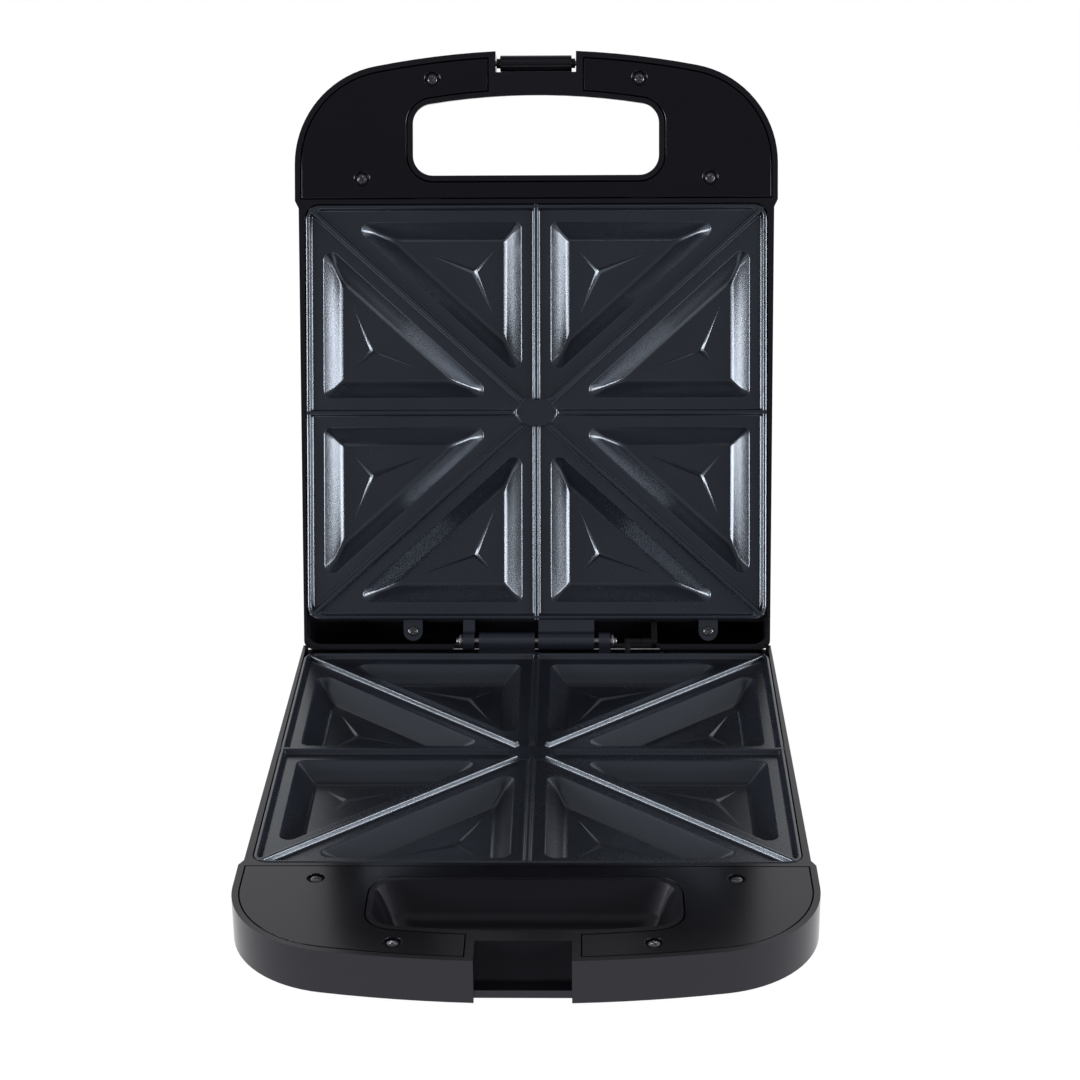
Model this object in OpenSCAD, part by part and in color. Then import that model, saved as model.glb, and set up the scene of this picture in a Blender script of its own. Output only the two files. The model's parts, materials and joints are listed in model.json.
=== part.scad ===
// Sandwich toaster with eight triangular pockets in each plate, a hinged lid and a swinging latch.
// Each half is drawn hanging below the hinge line: x across, -y towards the handle, z up.
// The lid is the same half turned over about y, then opened about the hinge line.

/* [Cooking plates] */
// Width of each plate
plate_w = 256; // [250:1:264]
// Length of each plate, from hinge side to handle side
plate_l = 230.7; // [226:0.1:240]
// Distance from the hinge line to the near edge of the plates
plate_back = 11.7; // [11.2:0.1:13]
// Gap between the two halves when the lid is shut
shut_gap = 2.4; // [1.6:0.1:3.2]
// Thickness of the casting
cast_t = 3; // [2.4:0.1:3.4]
// Width of the raised rim round a plate
rim_w = 3.3; // [2.5:0.1:4.5]
// Width of a dividing rib at its foot
rib_w = 6; // [4:0.1:8]
// Width of a dividing rib along its top
rib_top_w = 1.8; // [1:0.1:2.6]
// Height of rim and ribs over the flat between the pockets
rib_h = 2.8; // [2:0.1:3.4]
// Width of the bare patch where the ribs meet
hub_w = 24; // [20:0.5:30]
// Length of the bare patch where the ribs meet
hub_l = 15; // [12:0.5:20]
// Corner radius of a plate
plate_r = 8; // [6:0.5:10]

/* [Pockets] */
// Depth of a pocket below the flat
pocket_d = 8.8; // [7:0.1:10]
// Width of a pocket's sloping wall, seen from above
pocket_slope = 8; // [6:0.1:10]
// Distance from a straight rib's middle to a pocket
pocket_to_rib = 8.3; // [7:0.1:10]
// Distance from the plate's edge to a pocket
pocket_to_edge = 9.8; // [8:0.1:12]
// Distance from a slanting rib's middle to a pocket
pocket_to_diagonal = 8.8; // [7.5:0.1:11]
// Corner radius of a pocket
pocket_r = 4.5; // [3:0.1:6]
// Height of the three-armed crease in a pocket's floor
crease_h = 1.2; // [0.6:0.1:1.6]
// Width of a crease at its middle
crease_w = 2.4; // [1.5:0.1:3]

/* [Casing] */
// Depth of each casing from the hinge line to its outer face
shell_h = 42; // [40:0.5:50]
// Wall thickness
wall = 2.8; // [2.4:0.1:3.2]
// Width of the lip outside the plates, at the rear
lip = 1.5; // [1:0.1:2]
// How much wider the casing is at the handle than at the rear, on each side
casing_flare = 1.9; // [0:0.1:3]
// Play between a plate and the lip
plate_play = 0.3; // [0.2:0.1:0.6]
// Distance from the hinge line back to the outer rear face
rear_d = 4.6; // [4.2:0.1:5]
// Corner radius of the casing at its rear
rear_r = 5; // [4:0.5:8]
// Radius along the edges of the outer face
edge_r = 14; // [8:0.5:18]
// How far the lid swings open
open_angle = 110.4; // [100:0.1:112]
// Play between lid and base where the open lid stops
stop_play = 0.3; // [0.2:0.05:0.6]

/* [Handles] */
// Length of the handles beyond the plates
handle_l = 84.6; // [80:0.1:92]
// Depth of the handles from the hinge line
handle_h = 22.5; // [20:0.5:26]
// How much further out the handles reach on each side than the casing
handle_flare = 2; // [1:0.1:4]
// Radius of the bowed front edge
handle_bow_r = 470; // [400:5:600]
// Radius of the handle's corners
handle_corner_r = 55; // [45:1:62]
// Thickness of the handle's outer wall
handle_wall = 3; // [2.4:0.1:3.4]
// Width of the finger opening
grip_w = 136; // [124:1:144]
// Length of the finger opening
grip_l = 44; // [38:0.5:46]
// Distance from the plates to the finger opening
grip_back = 15.8; // [14:0.1:18]
// Radius of the bowed front edge of the finger opening
grip_bow_r = 374; // [320:2:420]
// Corner radius of the finger opening
grip_r = 11; // [8:0.5:14]
// Thickness of the wall round the finger opening
grip_wall = 3; // [2.4:0.1:3.6]
// Thickness of the handle panels
panel_t = 3; // [2.4:0.1:3.6]
// Play round a panel
panel_play = 0.3; // [0.2:0.05:0.5]
// Distance from the handle's side to a rear panel screw
rear_screw_in = 37.3; // [30:0.1:42]

/* [Latch] */
// Width of the latch
latch_w = 39.6; // [34:0.2:46]
// Distance from the handle's tip back to the latch pivot
latch_back = 6.25; // [6:0.05:7]
// Height of the latch pivot above the hinge line, lid shut
latch_up = 8; // [6:0.1:11]
// Radius of the latch round its pivot
latch_r = 4.4; // [4:0.1:4.8]
// Thickness of the latch blade
latch_t = 2.35; // [2:0.05:2.5]
// Thickness of the hook
hook_t = 3; // [2.4:0.1:4]
// Play under the catch when latched
hook_play = 0.6; // [0.5:0.05:1]
// Play beside the latch in the lid
lid_notch_play = 2.4; // [1.6:0.1:3]
// Play beside the latch in the base
base_notch_play = 1.6; // [1:0.1:2.4]
// Thickness of the catch in the base
catch_t = 3.8; // [3:0.1:5]
// Radius of the latch pin
latch_pin_r = 1.5; // [1.2:0.05:1.8]
// How far the latch swings
latch_swing = 180; // [170:1:180]

/* [Hinge] */
// Radius of the knuckles
knuckle_r = 5; // [4.6:0.1:5.4]
// Radius of the hinge pin
pin_r = 2; // [1.6:0.05:2.4]
// Running play of a moving knuckle or pin, at the radius
running_play = 0.06; // [0.03:0.01:0.09]
// Length of a plate's long knuckle
long_knuckle = 31; // [26:0.5:32]
// Length of a plate's short knuckle
short_knuckle = 6.5; // [5:0.5:9]
// Distance between neighbouring knuckles
knuckle_gap = 2; // [1:0.25:3]

/* [Fittings] */
// Height of the feet
foot_h = 8; // [6:0.5:14]
// Radius of the feet
foot_r = 9; // [7:0.5:11]
// Radius of the heating elements' tube
element_r = 3.3; // [3:0.1:4]
// Thickness of the heat shields
shield_t = 0.8; // [0.6:0.1:1]
// Radius of the screws' heads
head_r = 2.7; // [2.3:0.1:3]
// Radius of the screws' shanks
shank_r = 1.5; // [1.3:0.05:1.6]
// Bore of the cord gland, at the radius
gland_bore_r = 3.6; // [3:0.1:4]
// Radius of the signal lamps' lenses
lens_r = 5; // [4:0.1:6]

/* [Hidden] */
$fn = 64;

// Heights below the hinge line
top_z = -shut_gap / 2;                   // top of rims, ribs and handles
flat_z = top_z - rib_h;                  // flat between the pockets
flange_z = flat_z - cast_t;              // underside of the flange
bump_z = flat_z - pocket_d - cast_t;     // underside of the pockets
lip_z = top_z - 0.4;                     // top of the casing's lip
panel_z = top_z - panel_t;               // underside of a handle panel
seat_gap = 0.1;                          // between parts that are held against each other
element_z = bump_z - seat_gap - element_r;
clip_t = 1;
clip_z = element_z - element_r - seat_gap - clip_t;
shield_z = clip_z - 1 - shield_t;        // underside of the heat shield

// Distances across and along, from the hinge line
body_x = plate_w / 2 + plate_play + lip;
front_x = body_x + casing_flare;
handle_x = front_x + handle_flare;
plate_front = plate_back + plate_l;
reach = plate_front + handle_l;
mid_v = plate_back + plate_l / 2;
cross_front = plate_front + plate_play + 2.5;      // front of the wall between plate and handle
panel_back = cross_front + panel_play;
grip_v0 = plate_front + grip_back;
grip_v1 = grip_v0 + grip_l;
flare_v = cross_front - 0.7;
taper = atan(casing_flare / cross_front);
front_r = 5;
cell_w = plate_w / 2;
cell_l = plate_l / 2;
slant = atan(cell_l / cell_w);

// Rear top edge of the base, just clear of the lid's rear face when open
rear_top = -(rear_d * tan(open_angle / 2) + stop_play);
sweep_r = norm([rear_d, top_z]) + stop_play;

// Panel screws: [x, v] on the right-hand side
panel_screws = [[handle_x - rear_screw_in, plate_front + 14.1],
    [grip_w / 2 - 10.8, grip_v1 + (reach - grip_v1) * 0.367]];
boss_r = shank_r + 2.6;
sink_r = head_r + 1.5;
sink_d = 1.7;
head_h = 1.6;

// Rear lugs of a plate: [x], their screws sit at lug_v
lug_x = [69.3, -95.7];
lug_r = 5.3;
lug_v = 5;
lug_t = 3;
lug_top = flange_z;

// Knuckles
long_x0 = knuckle_gap / 2;
short_x0 = long_x0 + long_knuckle + knuckle_gap + 0.5;
hinge_half = short_x0 + short_knuckle;
pin_half = hinge_half + 3.5;
hinge_clear_r = knuckle_r + 1.2;

// Latch and notches
pivot_v = reach - latch_back;
catch_front = pivot_v + latch_r - latch_t - 0.35;
lid_notch_x = latch_w / 2 + lid_notch_play;
base_notch_x = latch_w / 2 + base_notch_play;
lid_notch_v = pivot_v - latch_r - 1.35;
base_notch_v = lid_notch_v - 5;
notch_wall = 3.8;
hook_top = handle_h + hook_play + latch_up;        // below the pivot
hook_in = 4.25;                                    // hook's tip behind the pivot
tab_out = 3;                                       // finger tab ahead of the blade
latch_len = hook_top + hook_t;

// Where the hinge line lies: the part stands on z = 0, centred under its bounding box
function rear_of(v, n) = -v * cos(open_angle) + n * sin(open_angle);
function swung(y, z) = [pivot_v + y * cos(latch_swing) + z * sin(latch_swing),
    latch_up + z * -cos(latch_swing) + y * sin(latch_swing)];
hook_tip = [pivot_v + hook_in, latch_up + latch_len];
rear_reach = max(rear_of(hook_tip[0], hook_tip[1]), rear_of(reach, handle_h));
hinge_z = foot_h + shell_h;
hinge_y = (reach - rear_reach) / 2;

// Heat shield studs and heating element, the same in both halves: [x, v]
shield_in = 16;
element_x = plate_w / 2 - 40;
element_bend = 22;
element_v0 = plate_back + 26;
element_v1 = plate_front - 24;
terminal_x = element_x - 48;
lead_hole_x = terminal_x - 8;
stud_r = 4;
shield_screw_l = 7;
panel_screw_l = 10;
stud_x = element_x - 13;
stud_y = element_v1 - mid_v - 21.35;
studs = [[0, mid_v - stud_y], [0, mid_v + stud_y], [-stud_x, mid_v], [stud_x, mid_v]];

// Base fittings
gland_x = -85;
gland_z = -shell_h + 21;
gland_r = 6;
foot_x = body_x - 30;
foot_v = [20, plate_front - 16];
thermo_r = 8;
thermo_h = bump_z - seat_gap - shield_z;

// Lid fittings
lens_v = plate_front - 34;
lens_x = 14;
lens_neck_r = lens_r - 1;
holder_w = 2 * lens_x + 32;
holder_l = 18;
holder_up = 8;
holder_t = 2.5;
lamp_r = 2.5;
lead_r = 1.6;
lead_sides = 10;
lead_x = pin_half + 6;

// ---------------------------------------------------------------- helpers

module at_hinge() {
    translate([0, hinge_y, hinge_z]) children();
}

module in_lid() {
    at_hinge() rotate([-open_angle, 0, 0]) rotate([0, 180, 0]) children();
}

module round_rect(x0, x1, y0, y1, r) {
    translate([x0 + r, y0]) square([x1 - x0 - 2 * r, y1 - y0]);
    translate([x0, y0 + r]) square([x1 - x0, y1 - y0 - 2 * r]);
    for (x = [x0 + r, x1 - r], y = [y0 + r, y1 - r]) translate([x, y]) circle(r = r);
}

// Distance of a bowed outline's corner centres, so that corner and bow meet smoothly
function corner_v(half_w, v1, bow_r, r) =
    v1 - bow_r + sqrt(pow(bow_r - r, 2) - pow(half_w - r, 2));

// Outline with straight sides from v0, and a bowed front edge that reaches v1, grown by g
module bowed(half_w, v0, v1, bow_r, r, g) {
    cx = half_w - r;
    cv = corner_v(half_w, v1, bow_r, r);
    far = 1.1 * bow_r / (bow_r - r);
    fx = cx * far;
    fv = v1 - bow_r + (cv - v1 + bow_r) * far;
    translate([-half_w - g, -cv]) square([2 * (half_w + g), cv - v0]);
    for (x = [-cx, cx]) translate([x, -cv]) circle(r = r + g, $fn = 128);
    intersection() {
        translate([0, bow_r - v1]) circle(r = bow_r + g, $fn = 720);
        polygon([[-cx, -cv], [cx, -cv], [fx, -fv], [-fx, -fv]]);
    }
}

module handle_plan(g) {
    bowed(handle_x, flare_v, reach, handle_bow_r, handle_corner_r, g);
    polygon([[-front_x - g, 4 - flare_v], [0, 12 - flare_v], [front_x + g, 4 - flare_v],
        [handle_x + g, -flare_v], [-handle_x - g, -flare_v]]);
    translate([-front_x + 0.2, 3.9 - flare_v]) square([2 * front_x - 0.4, 5]);
}

module grip_plan(g) {
    bowed(grip_w / 2, grip_v0 + grip_r, grip_v1, grip_bow_r, grip_r, g);
    round_rect(-grip_w / 2 - g, grip_w / 2 + g, -grip_v0 - 2.5 * grip_r, g - grip_v0, grip_r + g);
}

module along_x(x0, x1, r) {
    translate([x0, 0, 0]) rotate([0, 90, 0]) cylinder(h = x1 - x0, r = r);
}

function unit(v) = v / norm(v);
function beside(d) = unit(cross(d, abs(d[2]) < 0.9 ? [0, 0, 1] : [1, 0, 0]));
function heading(points, k) = unit(points[k + 1] - points[k]);

// Corners of a lead at its point k: each bend is a mitre between two straight runs
function lead_ring(points, k) = k == 0
    ? let (d = heading(points, 0), e = beside(d), f = cross(d, e))
        [for (i = [0 : lead_sides - 1]) points[0] + lead_r * (e * cos(i * 360 / lead_sides)
            + f * sin(i * 360 / lead_sides))]
    : let (d = heading(points, k - 1), m = k == len(points) - 1 ? d : unit(d + heading(points, k)))
        [for (p = lead_ring(points, k - 1)) p + d * (((points[k] - p) * m) / (d * m))];

// Lead along straight runs, its ends just at the first and last point
module lead(points) {
    n = lead_sides;
    last = len(points) - 1;
    polyhedron(
        points = [for (k = [0 : last]) each lead_ring(points, k)],
        faces = concat([[for (i = [0 : n - 1]) i]],
            [for (k = [0 : last - 1]) for (i = [0 : n - 1]) let (j = (i + 1) % n)
                [k * n + i, k * n + n + i, k * n + n + j, k * n + j]],
            [[for (i = [n - 1 : -1 : 0]) last * n + i]]));
}

// Pan-head screw with a crossed slot: its head's underside is at z = 0
module screw(length) {
    difference() {
        union() {
            cylinder(h = head_h, r = head_r);
            translate([0, 0, -length]) cylinder(h = length, r = shank_r);
        }
        for (a = [0, 90]) rotate([0, 0, a])
            translate([-head_r * 0.6, -0.35, head_h - 0.9]) cube([head_r * 1.2, 0.7, 1]);
    }
}

// ---------------------------------------------------------------- plate casting

function in_radius(lx, ly) = (lx + ly - norm([lx, ly])) / 2;

// Legs of the pocket beside the middle rib, and of the one beside the side rim
cut_y = pocket_to_diagonal / cos(slant);
inner_y = cell_l - pocket_to_edge - pocket_to_rib * tan(slant) - cut_y;
outer_y = (cell_w - pocket_to_edge) * tan(slant) - cut_y - pocket_to_rib;

module rounded_triangle(lx, ly, g) {
    c = in_radius(lx, ly);
    k = (c - pocket_r) / c;
    offset(r = pocket_r + g, $fn = 32)
        polygon([[-c, -c] * k, [lx - c, -c] * k, [-c, ly - c] * k]);
}

// Tapered block of a pocket, its top at z = 0, right angle at the origin
module pocket_block(lx, ly, depth, g) {
    c = in_radius(lx, ly);
    translate([c, c, 0]) mirror([0, 0, 1])
        linear_extrude(depth, scale = (c + g - pocket_slope) / (c + g))
            rounded_triangle(lx, ly, g);
}

module pocket_mouth(lx, ly) {
    c = in_radius(lx, ly);
    translate([c, c, -0.01]) linear_extrude(rib_h) rounded_triangle(lx, ly, 0);
}

module crease(lx, ly) {
    c = in_radius(lx, ly);
    for (p = [[-c, -c], [lx - c, -c], [-c, ly - c]])
        translate([c, c, 0]) rotate([0, 0, atan2(p[1], p[0])]) rotate([90, 0, 90])
            linear_extrude(norm(p) * 0.4, scale = 0.03)
                polygon([[-crease_w / 2, -0.4], [crease_w / 2, -0.4], [0, crease_h]]);
}

// Places a child, which takes its legs from $lx and $ly, at all eight pockets
module at_pockets() {
    for (sx = [0, 1], sy = [0, 1])
        translate([0, -mid_v, 0]) mirror([sx, 0, 0]) mirror([0, sy, 0]) {
            translate([pocket_to_rib, cell_l - pocket_to_edge, 0]) mirror([0, 1, 0])
                let($lx = inner_y / tan(slant), $ly = inner_y) children();
            translate([cell_w - pocket_to_edge, pocket_to_rib, 0]) mirror([1, 0, 0])
                let($lx = outer_y / tan(slant), $ly = outer_y) children();
        }
}

module rib(length) {
    rotate([90, 0, 90]) linear_extrude(length)
        polygon([[-rib_w / 2, -0.5], [rib_w / 2, -0.5], [rib_w / 2, 0],
            [rib_top_w / 2, rib_h], [-rib_top_w / 2, rib_h], [-rib_w / 2, 0]]);
}

module ribs() {
    slant_start = norm([hub_w, hub_l]) * 0.4;
    slant_len = norm([cell_w, cell_l]) - slant_start - rim_w - plate_r * 0.42;
    for (s = [0, 180]) {
        rotate([0, 0, s]) translate([hub_w / 2, 0, 0]) rib(cell_w - hub_w / 2 - rim_w + 0.5);
        rotate([0, 0, s + 90]) translate([hub_l / 2, 0, 0]) rib(cell_l - hub_l / 2 - rim_w + 0.5);
    }
    for (a = [slant, 180 - slant, 180 + slant, -slant])
        rotate([0, 0, a]) translate([slant_start, 0, 0]) rib(slant_len);
}

module plate_plan(g) {
    round_rect(-cell_w - g, cell_w + g, -plate_front - g, g - plate_back, plate_r + g);
}

module knuckles() {
    for (k = [[-long_x0 - long_knuckle, long_knuckle], [short_x0, short_knuckle]]) {
        along_x(k[0], k[0] + k[1], knuckle_r);
        translate([k[0], -plate_back - 1, flange_z])
            cube([k[1], plate_back + 1, -flange_z - knuckle_r * 0.5]);
    }
}

module lugs() {
    for (x = lug_x) {
        translate([x, -lug_v, lug_top - lug_t]) cylinder(h = lug_t, r = lug_r);
        translate([x - lug_r, -plate_back - 1, lug_top - lug_t])
            cube([2 * lug_r, plate_back + 1 - lug_v, lug_t]);
        translate([x - lug_r, -plate_back - 3, lug_top - lug_t]) cube([2 * lug_r, 3, lug_t + 1]);
    }
}

module front_tabs() {
    for (x = [-60, 60]) translate([x - 8, -cross_front - 1, flange_z - 3])
        cube([16, cross_front - plate_front + 6, 3.5]);
}

module plate_casting() {
    difference() {
        union() {
            translate([0, 0, flange_z]) linear_extrude(cast_t) plate_plan(0);
            translate([0, 0, flat_z - 0.5]) linear_extrude(rib_h + 0.5) difference() {
                plate_plan(0);
                plate_plan(-rim_w);
            }
            translate([0, -mid_v, flat_z]) ribs();
            translate([0, 0, flat_z - 0.5])
                at_pockets() pocket_block($lx, $ly, pocket_d + cast_t - 0.5, cast_t);
            knuckles();
            lugs();
            front_tabs();
            for (s = studs) translate([s[0], -s[1], shield_z + shield_t])
                cylinder(h = flange_z - shield_z, r = stud_r);
            translate([0, -mid_v, bump_z]) cylinder(h = flange_z - bump_z + 1, r = thermo_r + 1);
        }
        translate([0, 0, flat_z]) at_pockets() {
            pocket_block($lx, $ly, pocket_d, 0);
            pocket_mouth($lx, $ly);
        }
        along_x(-long_x0 - long_knuckle - 1, hinge_half + 1, pin_r + running_play);
        for (x = lug_x) translate([x, -lug_v, lug_top - lug_t - 1])
            cylinder(h = lug_t + 2, r = shank_r + 0.3);
        for (s = studs) translate([s[0], -s[1], shield_z])
            cylinder(h = 9, r = shank_r + 0.05);
    }
    translate([0, 0, flat_z - pocket_d]) at_pockets() crease($lx, $ly);
}

// ---------------------------------------------------------------- casing

// Outline of the casing from above, inset by g
module tub_plan(g) {
    back = rear_d - g;
    front = cross_front - g;
    for (p = [[body_x - g, back, max(rear_r - g, 1), -1], [front_x - g, -front, front_r, 1]]) {
        for (m = [0, 1]) mirror([m, 0])
            translate([p[0] - p[2], p[1] + p[3] * p[2]]) circle(r = p[2]);
        translate([p[2] - p[0], p[3] > 0 ? p[1] : p[1] - 9]) square([2 * (p[0] - p[2]), 9]);
    }
    polygon([[g - body_x, back - max(rear_r - g, 1)], [body_x - g, back - max(rear_r - g, 1)],
        [front_x - g, front_r - front], [g - front_x, front_r - front]]);
}

// Rounded tub, inset by g from the outer faces, up to height z1
module tub(g, z1) {
    low = -shell_h + g;
    r = max(edge_r - g, 2);
    intersection() {
        translate([0, 0, low]) linear_extrude(z1 - low) tub_plan(g);
        for (m = [0, 1]) mirror([m, 0, 0]) translate([body_x, 10, 0]) rotate([0, 0, taper])
            rotate([90, 0, 0]) linear_extrude(reach) round_rect(-2.5 * body_x, -g, low, 60, r);
        translate([-front_x - 1, 0, 0]) rotate([90, 0, 90]) linear_extrude(2 * front_x + 2)
            round_rect(g - cross_front, rear_d - g, low, 60, r);
    }
}

module notch_block(half_x, back_v) {
    translate([-half_x - notch_wall, -reach, -handle_h + wall])
        cube([2 * (half_x + notch_wall), reach - grip_v1 - 1, handle_h - wall + top_z]);
}

module handle_room() {
    difference() {
        linear_extrude(handle_h) difference() {
            handle_plan(-handle_wall);
            translate([-handle_x, -cross_front]) square([2 * handle_x, cross_front]);
        }
        translate([0, 0, -1]) linear_extrude(handle_h + 2) grip_plan(grip_wall);
    }
}

// The shape that both casings share
module casing(notch_x, notch_v) {
    difference() {
        union() {
            tub(0, lip_z);
            translate([0, 0, -handle_h]) linear_extrude(handle_h + top_z) handle_plan(0);
        }
        // room under the plate, and the recess that the plate sits in
        intersection() {
            tub(wall, 1);
            translate([-body_x, -plate_front + 1, -shell_h])
                cube([2 * body_x, plate_front + rear_d, shell_h + flange_z]);
        }
        translate([0, 0, flange_z]) linear_extrude(20) round_rect(-cell_w - plate_play,
            cell_w + plate_play, -plate_front - plate_play, rear_d - wall, plate_r);
        // slots for the plate's front tabs
        for (x = [-60, 60]) translate([x - 8.3, -cross_front - 2, flange_z - 3.3])
            cube([16.6, 10, 4]);
        difference() {
            translate([0, 0, -handle_h + wall]) handle_room();
            notch_block(notch_x, notch_v);
            for (s = [-1, 1], p = panel_screws)
                translate([s * p[0], -p[1], -handle_h]) cylinder(h = handle_h + panel_z, r = boss_r);
        }
        for (s = [-1, 1], p = panel_screws)
            translate([s * p[0], -p[1], panel_z - 11]) cylinder(h = 12, r = shank_r + 0.05);
    }
    // bosses under the plate's rear lugs
    for (x = lug_x) difference() {
        translate([x, -lug_v, -shell_h + wall / 2])
            cylinder(h = lug_top - lug_t + shell_h - wall / 2, r = shank_r + 2);
        translate([x, -lug_v, lug_top - lug_t - 12]) cylinder(h = 13, r = shank_r + 0.05);
    }
}

module casing_screws(length) {
    for (s = [-1, 1], p = panel_screws)
        translate([s * p[0], -p[1], top_z - sink_d - 0.1]) screw(length);
}

module base_housing() {
    color([0.13, 0.13, 0.14]) at_hinge() difference() {
        casing(base_notch_x, base_notch_v);
        translate([0, 0, -handle_h + wall]) linear_extrude(handle_h) grip_plan(0);
        difference() {
            translate([-base_notch_x, -reach - 1, -handle_h - 1])
                cube([2 * base_notch_x, reach + 1 - base_notch_v, handle_h + 2]);
            translate([-base_notch_x - 1, -catch_front, -handle_h])
                cube([2 * base_notch_x + 2, catch_front - base_notch_v + 1, catch_t]);
        }
        // the rear edge stays clear of the lid's rear wall as it swings down
        translate([-body_x - 1, -2, rear_top]) cube([2 * body_x + 2, rear_d + 4, 20]);
        translate([gland_x, 10, gland_z]) rotate([90, 0, 0]) cylinder(h = 20, r = gland_r + 0.1);
        for (x = [-foot_x, foot_x], v = foot_v)
            translate([x, -v, -shell_h - 1]) cylinder(h = 9, r = 3.1);
    }
}

module lid_housing() {
    color([0.13, 0.13, 0.14]) in_lid() difference() {
        casing(lid_notch_x, lid_notch_v);
        translate([0, 0, -handle_h - 1]) linear_extrude(handle_h + 2) grip_plan(0);
        translate([-lid_notch_x, -reach - 1, -handle_h - 1])
            cube([2 * lid_notch_x, reach + 1 - lid_notch_v, handle_h + 2]);
        translate([0, -pivot_v, -latch_up])
            along_x(-lid_notch_x - 2.8, lid_notch_x + 2.8, latch_pin_r + running_play);
        along_x(-lead_x - 18, pin_half + 2, hinge_clear_r);
        for (x = [-lens_x, lens_x]) translate([x, -lens_v, -shell_h - 1])
            cylinder(h = wall + 2, r = lens_neck_r + 0.05);
    }
}

module handle_panel(notch_x) {
    difference() {
        translate([0, 0, panel_z]) linear_extrude(panel_t) difference() {
            handle_plan(-handle_wall - panel_play);
            translate([-handle_x, -panel_back]) square([2 * handle_x, panel_back]);
            grip_plan(grip_wall + panel_play);
            translate([-notch_x - notch_wall - panel_play, -reach])
                square([2 * (notch_x + notch_wall + panel_play), reach - grip_v1]);
        }
        for (s = [-1, 1], p = panel_screws) translate([s * p[0], -p[1], 0]) {
            translate([0, 0, panel_z - 1]) cylinder(h = panel_t + 2, r = shank_r + 0.3);
            translate([0, 0, top_z - sink_d - 0.1]) cylinder(h = 4, r = sink_r - 0.6);
            translate([0, 0, top_z - 1]) cylinder(h = 1.01, r1 = sink_r - 0.6, r2 = sink_r);
        }
    }
}

module base_handle_panel() {
    color([0.09, 0.09, 0.1]) at_hinge() handle_panel(base_notch_x);
}

module lid_handle_panel() {
    color([0.09, 0.09, 0.1]) in_lid() handle_panel(lid_notch_x);
}

module base_plate() {
    color([0.16, 0.17, 0.2]) at_hinge() plate_casting();
}

module lid_plate() {
    color([0.16, 0.17, 0.2]) in_lid() plate_casting();
}

module base_panel_screws() {
    color([0.1, 0.1, 0.11]) at_hinge() casing_screws(panel_screw_l);
}

module lid_panel_screws() {
    color([0.1, 0.1, 0.11]) in_lid() casing_screws(panel_screw_l);
}

module plate_screws() {
    for (x = lug_x) translate([x, -lug_v, lug_top + 0.05]) screw(lug_t + panel_screw_l);
}

module base_plate_screws() {
    color([0.1, 0.1, 0.11]) at_hinge() plate_screws();
}

module lid_plate_screws() {
    color([0.1, 0.1, 0.11]) in_lid() plate_screws();
}

// ---------------------------------------------------------------- under each plate

module quarter_bend(r) {
    rotate_extrude(angle = 90) translate([r, 0]) circle(r = element_r, $fn = 32);
}

module straight(x0, v0, x1, v1, r) {
    d = [x1 - x0, v0 - v1, 0];
    translate([x0, -v0, 0]) rotate([0, 90, atan2(d[1], d[0])]) cylinder(h = norm(d), r = r);
}

module heating_element() {
    translate([0, 0, element_z]) {
        straight(-element_x + element_bend, element_v1, element_x - element_bend, element_v1,
            element_r);
        for (m = [0, 1]) mirror([m, 0, 0]) {
            straight(element_x, element_v0 + element_bend, element_x,
                element_v1 - element_bend, element_r);
            translate([element_x - element_bend, element_bend - element_v1, 0])
                mirror([0, 1, 0]) quarter_bend(element_bend);
            translate([element_x - element_bend, -element_v0 - element_bend, 0])
                quarter_bend(element_bend);
            straight(element_x - element_bend, element_v0, terminal_x + 8, element_v0, element_r);
            straight(terminal_x + 8, element_v0, terminal_x, element_v0, 1.2);
        }
    }
}

module element_clips() {
    difference() {
        union() {
            for (m = [0, 1]) mirror([m, 0, 0])
                translate([stud_x - 7, -mid_v - 6, clip_z]) cube([element_x - stud_x + 12, 12, clip_t]);
            translate([-6, -element_v1 - 5, clip_z])
                cube([12, element_v1 - mid_v - stud_y + 12, clip_t]);
        }
        for (s = studs) translate([s[0], -s[1], clip_z - 1]) cylinder(h = 4, r = stud_r + 0.05);
    }
}

module shield(has_opening) {
    translate([0, 0, shield_z]) difference() {
        linear_extrude(shield_t + 5) round_rect(-cell_w + shield_in, cell_w - shield_in,
            shield_in - plate_front, -shield_in - plate_back, 10);
        translate([0, 0, shield_t]) linear_extrude(9)
            round_rect(shield_t + shield_in - cell_w, cell_w - shield_in - shield_t,
                shield_in + shield_t - plate_front, -shield_in - shield_t - plate_back, 9);
        for (s = studs) translate([s[0], -s[1], -1]) cylinder(h = 4, r = shank_r + 0.3);
        if (has_opening) translate([0, -mid_v, -1]) cylinder(h = 4, r = thermo_r + 5);
        // holes that the leads come through
        for (x = [-lead_hole_x, lead_hole_x])
            translate([x, -element_v0, -1]) cylinder(h = 4, r = 4);
    }
}

module shield_screws() {
    for (s = studs) translate([s[0], -s[1], shield_z - 0.05]) mirror([0, 0, 1]) screw(shield_screw_l);
}

module base_heating_element() {
    color([0.35, 0.33, 0.32]) at_hinge() heating_element();
}

module lid_heating_element() {
    color([0.35, 0.33, 0.32]) in_lid() heating_element();
}

module base_element_clips() {
    color([0.7, 0.7, 0.72]) at_hinge() element_clips();
}

module lid_element_clips() {
    color([0.7, 0.7, 0.72]) in_lid() element_clips();
}

module base_reflector() {
    color([0.75, 0.76, 0.78]) at_hinge() shield(true);
}

module lid_reflector() {
    color([0.75, 0.76, 0.78]) in_lid() shield(false);
}

module base_reflector_screws() {
    color([0.6, 0.6, 0.62]) at_hinge() shield_screws();
}

module lid_reflector_screws() {
    color([0.6, 0.6, 0.62]) in_lid() shield_screws();
}

// ---------------------------------------------------------------- base fittings

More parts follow.
